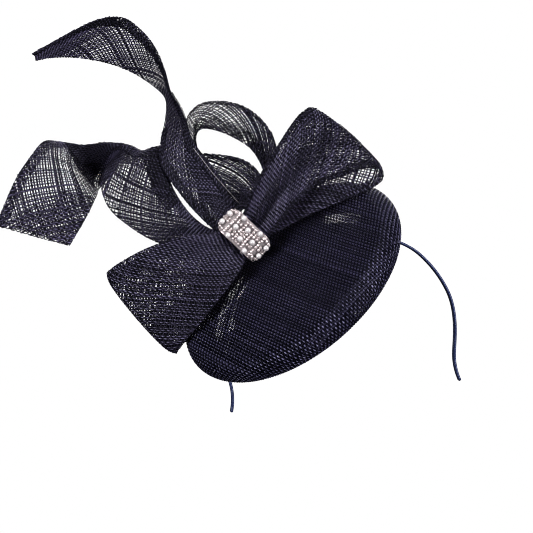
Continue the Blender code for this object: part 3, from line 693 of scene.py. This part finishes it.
RIM_RADIUS = 9.2 * MM
RIM_CENTRE = 72.8 * MM  # from the disc's middle to the middle of the rolled rim
BASE_DISH = 2.5 * MM
BASE_WALL = 1.4 * MM
BASE_OPENING = 66.0 * MM
BASE_PITCHES = (1.76 * MM, 1.96 * MM)
BASE_FAMILY_TONE = (0.75, 1.0)  # painted sheen: the blocked cloth's warp is painted darker still, so its weft shows more than on a ribbon
BASE_WEAVE_LIFT = 0.36 * MM
BASE_THREAD_THICKNESS = 0.45 * MM
LINING_GAP = 0.35 * MM
LINING_RADIUS = 69.0 * MM
LINING_THICKNESS = 1.0 * MM
LINING_NOTCHES = ((12.0, 44.0, 55.5 * MM), (113.0, 168.0, 49.0 * MM))  # from, to, radius
LINING_RINGS = (0, 0.3, 0.6, 0.8, 0.9, 0.96, 0.99, 1)  # shares of the radius
EDGE_ROUNDING = 0.985  # share of the radius where the edge starts to round off
EDGE_DEPTH = 0.8  # how much of its thickness the edge loses
PUCKER, PUCKERS = 0.12 * MM, 28  # depth and number of the waves along the lining's edge
LINING_STEP, NOTCH_SLOPE = 3.0, 0.3  # degrees between its spokes and along a notch's side
UNDER_START = RIM_CENTRE + math.pi * RIM_RADIUS
BASE_REACH = UNDER_START + RIM_CENTRE - BASE_OPENING


def on_base(flat, inward):
    """Drapes flat cloth over the block: its distance from the middle runs over the dished top,
    round the rim and in along the underside."""
    distance = np.linalg.norm(flat, axis=1)
    heading = flat / np.maximum(distance, 1e-9)[:, None]
    top = distance < RIM_CENTRE
    under = distance > UNDER_START
    angle = np.clip((distance - RIM_CENTRE) / RIM_RADIUS, 0, math.pi)
    rim = RIM_RADIUS - inward
    dip = BASE_DISH * (1 - np.minimum(distance / RIM_CENTRE, 1) ** 2)
    radius = np.where(top, distance, RIM_CENTRE + rim * np.sin(angle))
    radius = np.where(under, UNDER_START + RIM_CENTRE - distance, radius)
    height = np.where(top, rim - dip, rim * np.cos(angle))
    lean = np.where(top, -2 * BASE_DISH * distance / RIM_CENTRE ** 2, np.sin(angle))
    rise = np.where(top, 1.0, np.cos(angle))
    points = np.column_stack([heading * radius[:, None], height])
    normals = unit(np.column_stack([heading * lean[:, None], rise]))
    return points, normals


def woven_base(name, inward, angle, widths, material, seed):
    rng = np.random.default_rng(seed)
    strands = []
    laid = lay_threads(lambda start, run: clip_disc(start, run, BASE_REACH), BASE_REACH,
                       BASE_PITCHES, angle, rng, BASE_WANDER)
    for flat, sides, family in laid:
        points, normals = on_base(flat, inward)
        lifted = points + normals * sides[:, None] * BASE_WEAVE_LIFT
        strands.append((in_frame(lifted, BASE_AXES, BASE_CENTRE), normals @ BASE_AXES.T,
                        widths[family] * thread_width(rng), BASE_THREAD_THICKNESS,
                        thread_tone(family, rng) * BASE_FAMILY_TONE[family], sides))
    place(thread_mesh(name, strands, material), ("base_shell",))


def lining_radius(angle):
    for start, end, radius in LINING_NOTCHES:
        if start <= angle <= end:
            return radius
    return LINING_RADIUS


def build_lining():
    """Stiff round cloth inside the disc, notched where only the woven layers are left."""
    corners = {edge for notch in LINING_NOTCHES for edge in notch[:2]}
    spokes = set(np.arange(0.0, 360.0, LINING_STEP))
    cuts = sorted(spokes | corners | {edge - NOTCH_SLOPE for edge in corners})
    floor = -RIM_RADIUS + BASE_WALL + LINING_GAP
    top, bottom = [], []
    for angle in cuts:
        turn = math.radians(angle)
        for share in LINING_RINGS:
            radius = share * lining_radius(angle)
            pucker = PUCKER * share ** 8 * math.sin(PUCKERS * turn)
            rounding = EDGE_DEPTH * LINING_THICKNESS / 2 * smooth_step(EDGE_ROUNDING, 1.0, share)
            x, y = radius * math.cos(turn), radius * math.sin(turn)
            top.append((x, y, floor + LINING_THICKNESS - rounding + pucker))
            bottom.append((x, y, floor + rounding + pucker))
    points = in_frame(np.array(top + bottom), BASE_AXES, BASE_CENTRE)
    mesh = solid_mesh("base_lining_cloth", points, plate_faces(len(cuts), len(LINING_RINGS), True))
    place(new_piece("base_lining_cloth", mesh, LINING), ("base_lining",))


def build_base():
    """Two woven layers over the block, at slightly different angles, and the lining; the inner layer
    is painted near black, a painted shade.
    """
    woven_base("base_outer_weave", inward=0.3 * MM, angle=14, widths=(1.2 * MM, 1.02 * MM),
               material=BASE_SINAMAY, seed=21)
    woven_base("base_inner_weave", inward=1.3 * MM, angle=18, widths=(0.6 * MM, 0.6 * MM),
               material=INNER_SINAMAY_PAINTED_SHADE, seed=22)
    build_lining()


# ---- knot, beads and pearls

KNOT_HEIGHT, KNOT_DEPTH, KNOT_CORNER = 15.2 * MM, 6.4 * MM, 5.8 * MM
KNOT_HALF_WIDTH = 8.7 * MM
KNOT_INSET = 0.5 * MM  # of the cloth's middle from the CAD solid's face
KNOT_EDGE = 0.3 * MM
KNOT_COLUMNS = 17
KNOT_RIPPLE, KNOT_RIPPLES = 0.012, 9  # share of the depth, and radians over half the width
KNOT_LAYER = 0.22 * MM  # of each of its two layers from the middle
BEAD_GAP = 0.35 * MM
SETTING_HALF_WIDTH = 9.3 * MM
SETTING_THICKNESS = 0.6 * MM
SETTING_REACH = KNOT_HEIGHT - KNOT_CORNER + (KNOT_CORNER + BEAD_GAP) * math.pi / 2
PEARL_RADIUS = 1.9 * MM
PEARL_PITCH, PEARL_ROW_PITCH = 7.6 * MM, 7.4 * MM
PLATE_THICKNESS = 0.8 * MM  # of the CAD plate, which sets how high the pearls sit
BEAD_ROWS, BEAD_COLUMNS = 16, 8
BEAD_RADII = (0.98 * MM, 1.18 * MM)
BEAD_DRIFT = 0.16 * MM  # off the even rows
BEAD_SEAT = 0.8  # height of a bead's middle over the plate, in its radii
BEAD_CLEARANCE = 2.75 * MM  # between the middles of a bead and a pearl
BEAD_SPREAD = 0.88  # share of the plate's width that the beads take up
END_TAPER, TAPER_START = 0.2, 0.62  # how much narrower the plate ends, and from which share of it
PLATE_REACH = 0.985  # share of the setting that the plate and its long wires cover
PLATE_ROWS, PLATE_COLUMNS = 49, 19
LONG_WIRES = np.linspace(-1, 1, 9)  # places as shares of half the width
LONG_WIRE_POINTS, CROSS_WIRE_POINTS = 97, 9
CROSS_WIRE_REACH = 0.97
WIRE_WIDTH, EDGE_WIRE_WIDTH = 0.22 * MM, 0.45 * MM
WIRE_TONE = 0.5
EDGE_WIRE_INSET, EDGE_WIRE_RISE, CROSS_WIRE_RISE = 0.25 * MM, 0.15 * MM, 0.1 * MM
CURLS, CURL_POINTS = 34, 12  # bent wires between the beads
CURL_WIDTH = 0.4 * MM
CURL_SPREAD = 0.95  # share of the plate's width
CURL_RADII = (0.7, 1.4)  # in mm
CURL_HEIGHTS = (1.3, 2.2)  # in mm over the plate
CURL_SWEEP = 5.0  # radians


def knot_ring(grow, corner_steps=8):
    """Rounded rectangle round the knot in (y, z), closed, grown outwards."""
    height, depth = KNOT_HEIGHT + grow, KNOT_DEPTH + grow
    corner = KNOT_CORNER + grow
    ring = []
    for y, z, begin in ((1, 1, 0), (-1, 1, 90), (-1, -1, 180), (1, -1, 270)):
        for step in range(corner_steps + 1):
            angle = math.radians(begin + 90 * step / corner_steps)
            ring.append((y * (height - corner) + corner * math.cos(angle),
                         z * (depth - corner) + corner * math.sin(angle)))
    return np.array(ring + ring[:1])


def build_knot():
    """Strip of sinamay in two layers round the middle of the bow."""
    ring = knot_ring(-KNOT_INSET)
    across = np.linspace(-1, 1, KNOT_COLUMNS)
    ripple = 1 - KNOT_RIPPLE * np.cos(KNOT_RIPPLES * across)
    grid = np.zeros((len(ring), KNOT_COLUMNS, 3))
    grid[..., 0] = across * (KNOT_HALF_WIDTH - KNOT_EDGE)
    grid[..., 1:] = ring[:, None, :] * ripple[None, :, None]
    sheet = Sheet(in_frame(grid, KNOT_AXES, KNOT_CENTRE), 2 * KNOT_HALF_WIDTH)
    rng = np.random.default_rng(31)
    strands = woven_patch(sheet, WHOLE * sheet.size, KNOT_LAYER, BIAS, rng)
    # the inner layer is painted darker, a painted shade
    strands += woven_patch(sheet, WHOLE * sheet.size, -KNOT_LAYER, -BIAS, rng, 0.5, HEM_PAINTED_SHADE)
    place(thread_mesh("knot_weave", strands, SINAMAY), ("knot_wrap",))


def setting_point(across, run, grow):
    """Point on the bent plate over the knot's front, which narrows towards its two ends; run is
    measured from its middle."""
    side, along = np.sign(run), np.abs(run)
    across = across * (1 - END_TAPER * smooth_step(TAPER_START, 1.0, along / SETTING_REACH))
    corner, flat = KNOT_CORNER + BEAD_GAP, KNOT_HEIGHT - KNOT_CORNER
    turn = np.clip((along - flat) / corner, 0, math.pi / 2)
    y = side * (np.minimum(along, flat) + (corner + grow) * np.sin(turn))
    z = KNOT_DEPTH - KNOT_CORNER + (corner + grow) * np.cos(turn)
    local = np.stack([across, y, z], axis=-1)
    normal = np.stack([np.zeros_like(turn), side * np.sin(turn), np.cos(turn)], axis=-1)
    return in_frame(local, KNOT_AXES, KNOT_CENTRE), normal @ KNOT_AXES.T


def pearl_places():
    """(across, along) places of the pearls: rows of two and three in turn."""
    places = []
    for row in range(-2, 3):
        columns = (-1, 0, 1) if row % 2 else (-0.5, 0.5)
        places += [(column * PEARL_PITCH, row * PEARL_ROW_PITCH) for column in columns]
    return np.array(places)


def setting_wire(across, run, rise, width):
    """A wire on the plate, with its middle that far above the face."""
    points, normals = setting_point(across, run, SETTING_THICKNESS + rise)
    return points, normals, width, width, WIRE_TONE, np.zeros(len(points))


def long_wires():
    """Wires along the setting; the two at its edges are stouter and stand a little higher."""
    line = np.linspace(-1, 1, LONG_WIRE_POINTS) * SETTING_REACH * PLATE_REACH
    wires = []
    for share in LONG_WIRES:
        across = np.full(len(line), share * (SETTING_HALF_WIDTH - EDGE_WIRE_INSET))
        rise, width = (EDGE_WIRE_RISE, EDGE_WIRE_WIDTH) if abs(share) == 1 else (0.0, WIRE_WIDTH)
        wires.append(setting_wire(across, line, rise, width))
    return wires


def cross_wires():
    across = np.linspace(-1, 1, CROSS_WIRE_POINTS) * SETTING_HALF_WIDTH
    runs = np.linspace(-1, 1, BEAD_ROWS + 1) * SETTING_REACH * CROSS_WIRE_REACH
    return [setting_wire(across, np.full(len(across), run), CROSS_WIRE_RISE, WIRE_WIDTH)
            for run in runs]


def wire_curls():
    """Short bent wires that lie about between the beads."""
    rng = np.random.default_rng(43)
    curls = []
    for _ in range(CURLS):
        x, run = rng.uniform(-1, 1, 2) * (CURL_SPREAD * SETTING_HALF_WIDTH, SETTING_REACH)
        radius = rng.uniform(*CURL_RADII) * MM
        turn = rng.uniform(0, math.tau) + np.linspace(0, CURL_SWEEP, CURL_POINTS)
        curls.append(setting_wire(x + radius * np.cos(turn), run + radius * np.sin(turn),
                                  rng.uniform(*CURL_HEIGHTS) * MM, CURL_WIDTH))
    return curls


def build_setting():
    """Thin silver mesh plate with wires along its edges and between the beads."""
    runs = np.linspace(-1, 1, PLATE_ROWS) * SETTING_REACH * PLATE_REACH
    across = np.linspace(-1, 1, PLATE_COLUMNS) * SETTING_HALF_WIDTH
    x, run = np.meshgrid(across, runs)
    layers = [setting_point(x, run, grow)[0].reshape(-1, 3) for grow in (SETTING_THICKNESS, 0.0)]
    mesh = solid_mesh("setting_plate", np.vstack(layers),
                      plate_faces(PLATE_ROWS, PLATE_COLUMNS, False))
    place(new_piece("setting_plate", mesh, SILVER_MESH), ("crystal_band",))
    wires = long_wires() + cross_wires() + wire_curls()
    place(thread_mesh("setting_wires", wires, SILVER), ("crystal_band",))


def ball(centre, radius, axis, rings, segments):
    """Points and faces of a ball; its poles lie on the given axis."""
    axis = unit(np.asarray(axis, float))
    first = unit(np.cross(axis, [0.3, 0.9, 0.2]))
    second = np.cross(axis, first)
    points = [centre + axis * radius]
    for ring in range(1, rings):
        lean = math.pi * ring / rings
        for step in range(segments):
            turn = math.tau * step / segments
            out = math.sin(lean) * (math.cos(turn) * first + math.sin(turn) * second)
            points.append(centre + radius * (math.cos(lean) * axis + out))
    points.append(centre - axis * radius)
    faces = []
    for step in range(segments):
        ahead = (step + 1) % segments
        faces.append((0, 1 + step, 1 + ahead))
        last = 1 + (rings - 2) * segments
        faces.append((len(points) - 1, last + ahead, last + step))
        for ring in range(rings - 2):
            here = 1 + ring * segments
            faces.append((here + step, here + segments + step, here + segments + ahead, here + ahead))
    return points, faces


def build_beads():
    """Small silver beads in rows over the setting, left out where a pearl sits."""
    rng = np.random.default_rng(41)
    points, faces = [], []
    for i in range(BEAD_ROWS):
        for j in range(BEAD_COLUMNS):
            spot = np.array([((2 * j + 1) / BEAD_COLUMNS - 1) * SETTING_HALF_WIDTH * BEAD_SPREAD,
                             ((2 * i + 1) / BEAD_ROWS - 1) * SETTING_REACH])
            spot += rng.normal(0, BEAD_DRIFT, 2)
            radius = rng.uniform(*BEAD_RADII)
            if np.min(np.linalg.norm(pearl_places() - spot, axis=1)) < BEAD_CLEARANCE:
                continue
            centre, normal = setting_point(spot[0], np.array(spot[1]),
                                           SETTING_THICKNESS + BEAD_SEAT * radius)
            more_points, more_faces = ball(centre, radius, normal, 8, 12)
            faces += [tuple(index + len(points) for index in face) for face in more_faces]
            points += more_points
    mesh = solid_mesh("silver_beads", points, faces)
    place(new_piece("silver_beads", mesh, SILVER), ("crystal_band",))


def build_pearls():
    height = PLATE_THICKNESS + BEAD_GAP + PEARL_RADIUS
    for number, (across, run) in enumerate(pearl_places(), start=1):
        name = f"pearl_bead_{number:02d}"
        centre, _ = setting_point(across, np.array(run), height)
        mesh = solid_mesh(name, *ball(centre, PEARL_RADIUS, KNOT_AXES[:, 0], 20, 32))
        place(new_piece(name, mesh, PEARL), (f"pearl_{number:02d}",))


# ---- headband

BAND_INNER_RADIUS = 79.2 * MM
BAND_THICKNESS = 2.2 * MM
BAND_WIDTH = 5.6 * MM
BAND_WALL = 0.4 * MM
ARCH_END = 100.0  # degrees from the crown to where a tip starts to flare
TIP_RADIUS, TIP_SWEEP = 45 * MM, 28.5
SEAM, SEAM_GAP = -28.0, 0.15  # where the two wraps meet, hidden under the disc
LEFT_FLEX, RIGHT_FLEX = -62.0, 22.0
SECTION_POINTS = 20
SIDE_POWER, FACE_POWER = 0.55, 0.65  # of the section, where 1 would make it an ellipse
SMALLEST_RING = 0.15  # at the very tip, as a share of the full section
RING_STEP = 2.0  # degrees between the rings of the tube
CAP_BACKS = (1.4, 1.0, 0.6, 0.33, 0.17, 0.07, 0.02)  # rings of the rounded tip, degrees from its end
ARM_SPREAD = 3.5 * MM  # how far the right arm bulges out of the plain arc
SPREAD_RISE = (22.0, 48.0)  # degrees over which it leaves the arc
SPREAD_FALL = (70.0, 100.0)  # degrees over which it comes back


def arm_spread(angle):
    return ARM_SPREAD * smooth_step(*SPREAD_RISE, angle) * (1 - smooth_step(*SPREAD_FALL, angle))


def band_station(angle):
    """Centre line point and outward direction, angle in degrees from the crown."""
    side = 1 if angle >= 0 else -1
    swing = abs(angle)
    middle_radius = BAND_INNER_RADIUS + BAND_THICKNESS / 2
    arch = math.radians(min(swing, ARCH_END))
    outward = np.array([side * math.sin(arch), 0, math.cos(arch)])
    forward = np.array([side * math.cos(arch), 0, -math.sin(arch)])
    point = outward * (middle_radius + arm_spread(angle)) - np.array([0, 0, BAND_INNER_RADIUS])
    slope = (arm_spread(angle + 0.5) - arm_spread(angle - 0.5)) / math.radians(1)
    lean = math.atan2(slope, middle_radius)
    outward = outward * math.cos(lean) - forward * math.sin(lean)
    if swing > ARCH_END:
        sweep = math.radians(swing - ARCH_END)
        pivot = point + outward * TIP_RADIUS
        radial = -outward * math.cos(sweep) + forward * math.sin(sweep)
        point = pivot + radial * TIP_RADIUS
        outward = -radial
    return point, outward


def band_ring(angle, shrink, inset):
    """Softly rounded section; shrink draws it in towards a tip."""
    point, outward = band_station(angle)
    half = (BAND_WIDTH / 2 - inset) * shrink
    deep = (BAND_THICKNESS / 2 - inset) * shrink
    ring = []
    for step in range(SECTION_POINTS):
        turn = math.tau * step / SECTION_POINTS
        c, s = math.cos(turn), math.sin(turn)
        y = half * math.copysign(abs(c) ** SIDE_POWER, c)
        out = deep * math.copysign(abs(s) ** FACE_POWER, s)
        ring.append(point + outward * out + np.array([0, y, 0]))
    return ring


def tube_rings(start, tip, inset):
    """Rings from the open seam to the closed tip, drawn in over the last ones to round it."""
    step = RING_STEP if tip > start else -RING_STEP
    side = np.sign(step)
    stations = [(angle, 1.0) for angle in np.arange(start, tip - step, step)]
    for back in CAP_BACKS:
        shrink = math.sqrt(1 - (1 - back / CAP_BACKS[0]) ** 2)
        stations.append((tip - side * (back + inset / MM), shrink))
    return [band_ring(angle, max(shrink, SMALLEST_RING), inset) for angle, shrink in stations]


def wrap_faces(rings):
    """Faces of a tube with a wall: outer rings, then inner ones, closed at the tip and open at
    the seam, where the wall shows."""
    sides = SECTION_POINTS
    total = rings * sides
    outer = [(ring + j, ring + (j + 1) % sides, ring + sides + (j + 1) % sides, ring + sides + j)
             for ring in range(0, total - sides, sides) for j in range(sides)]
    outer.append(range(total - sides, total))
    inner = [[total + corner for corner in reversed(face)] for face in outer]
    seam = [((j + 1) % sides, j, total + j, total + (j + 1) % sides) for j in range(sides)]
    return outer + inner + seam


def build_headband():
    """Satin tubes from the seam to each tip."""
    for name, side, flex in (("left", -1, LEFT_FLEX), ("right", 1, RIGHT_FLEX)):
        start, tip = SEAM + side * SEAM_GAP, side * (ARCH_END + TIP_SWEEP)
        outer, inner = tube_rings(start, tip, 0.0), tube_rings(start, tip, BAND_WALL)
        points = np.array(outer + inner).reshape(-1, 3)
        mesh = plain_mesh(f"band_wrap_{name}", points, wrap_faces(len(outer)))
        wrap = new_piece(f"band_wrap_{name}", mesh, SATIN)
        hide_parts(f"band_sleeve_{name}", "band_sleeve_crown")
        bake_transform(wrap)


# ---- carried-over CAD nodes

def finish_cad_nodes():
    finishes = {
        "band_core_": STEEL, "brim_wire": WIRE, "stay_thread": NYLON,
        "band_stitch_": SEWING, "trim_stitch_": SEWING,
    }
    for name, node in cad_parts.items():
        for start, material in finishes.items():
            if name.startswith(start):
                node.material_slots[0].material = material


# ---- camera, light and floor

CAMERA_TARGET = Vector((-43.9, 1.2, -18.0)) * MM
CAMERA_DISTANCE = 1.0  # metres
CAMERA_TURN, CAMERA_LIFT, CAMERA_ROLL = -4.0, 6.0, 7.1
CAMERA_LENS = 98.2
FLOOR_DROP = 3 * MM  # below the tips of the headband
FLOOR_REACH = 6.0
WORLD_GLOW, FLOOR_GLOW = 0.05, 0.04  # of what they show the camera, cast on the object


def add_camera():
    camera = add_object("camera", bpy.data.cameras.new("camera"))
    camera.data.lens = CAMERA_LENS
    axes = turned(CAMERA_TURN, CAMERA_LIFT, -CAMERA_ROLL)
    position = Vector(axes[:, 2]) * CAMERA_DISTANCE + CAMERA_TARGET
    camera.matrix_world = Matrix.Translation(position) @ Matrix(axes.tolist()).to_4x4()
    bpy.context.scene.camera = camera


def add_softbox(name, position, size, energy):
    lamp = add_object(name, bpy.data.lights.new(name, "AREA"))
    lamp.data.shape = "RECTANGLE"
    lamp.data.size, lamp.data.size_y = size
    lamp.data.energy = energy
    lamp.location = position
    aim = Vector(BASE_CENTRE) - Vector(position)
    lamp.rotation_euler = aim.to_track_quat("-Z", "Y").to_euler()


def add_lights():
    """Four soft boxes: name, place in metres, size and watts."""
    add_softbox("right_softbox", (0.85, -0.95, -0.05), (0.5, 0.9), 42)
    add_softbox("left_softbox", (-1.0, -0.9, 0.15), (0.5, 0.9), 20)
    add_softbox("top_softbox", (0.0, -0.5, 1.2), (0.7, 0.5), 14)
    add_softbox("back_softbox", (0.2, 1.2, 0.35), (0.9, 0.9), 16)


def white_to_camera(tree, others):
    """Strength that is one for the camera's own view and lower for light that bounces."""
    path = tree.nodes.new("ShaderNodeLightPath")
    return spread(tree, path.outputs["Is Camera Ray"], others, 1.0)


def add_world():
    world = bpy.data.worlds.new("studio")
    world.use_nodes = True
    tree = world.node_tree
    background = tree.nodes["Background"]
    background.inputs["Color"].default_value = (1, 1, 1, 1)
    tree.links.new(white_to_camera(tree, WORLD_GLOW), background.inputs["Strength"])
    scene = bpy.context.scene
    scene.world = world
    scene.view_settings.view_transform = "Standard"
    scene.cycles.filter_width = 0.9


def add_floor():
    """A white sheet just under the tips of the headband."""
    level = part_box("band_sleeve_left")[0].z - FLOOR_DROP
    corners = [(x * FLOOR_REACH, y * FLOOR_REACH, level)
               for x, y in ((-1, -1), (1, -1), (1, 1), (-1, 1))]
    mesh = plain_mesh("floor", corners, [(0, 1, 2, 3)])
    material, tree, _ = new_material("floor_white")
    tree.nodes.clear()
    output = tree.nodes.new("ShaderNodeOutputMaterial")
    glow = tree.nodes.new("ShaderNodeEmission")
    tree.links.new(white_to_camera(tree, FLOOR_GLOW), glow.inputs["Strength"])
    tree.links.new(glow.outputs[0], output.inputs["Surface"])
    mesh.materials.append(material)
    add_object("floor", mesh)


# ---- the model

SINAMAY = thread_material("sinamay_thread", (0.003, 0.003, 0.004), (0.08, 0.067, 0.138), 0.38)
BASE_SINAMAY = thread_material("base_thread", (0.001, 0.001, 0.002), (0.1, 0.092, 0.19), 0.36)
# painted shade: the inner layer's threads are painted near black
INNER_SINAMAY_PAINTED_SHADE = thread_material("inner_thread_painted_shade", (0.001, 0.001, 0.002), (0.003, 0.003, 0.007), 0.6)
LINING = lining_material()
SATIN = satin_material()
STEEL = metal_material("spring_steel", (0.35, 0.35, 0.37), (0.6, 0.6, 0.62), 0.2, 0.4, 400)
WIRE = twisted_material("wrapped_wire", (0.004, 0.004, 0.012), (0.02, 0.02, 0.05))
SILVER = metal_material("silver_bead", (0.42, 0.35, 0.35), (0.78, 0.71, 0.72), 0.14, 0.34, 700, 0.6)
SILVER_MESH = metal_material("silver_mesh", (0.2, 0.18, 0.19), (0.6, 0.54, 0.57), 0.3, 0.5, 1500)
PEARL = pearl_material()
NYLON = nylon_material()
SEWING = twisted_material("sewing_thread", (0.003, 0.004, 0.012), (0.02, 0.024, 0.07))

build_ribbons()
build_base()
build_knot()
build_setting()
build_beads()
build_pearls()
build_headband()
finish_cad_nodes()
add_camera()
add_lights()
add_world()
add_floor()
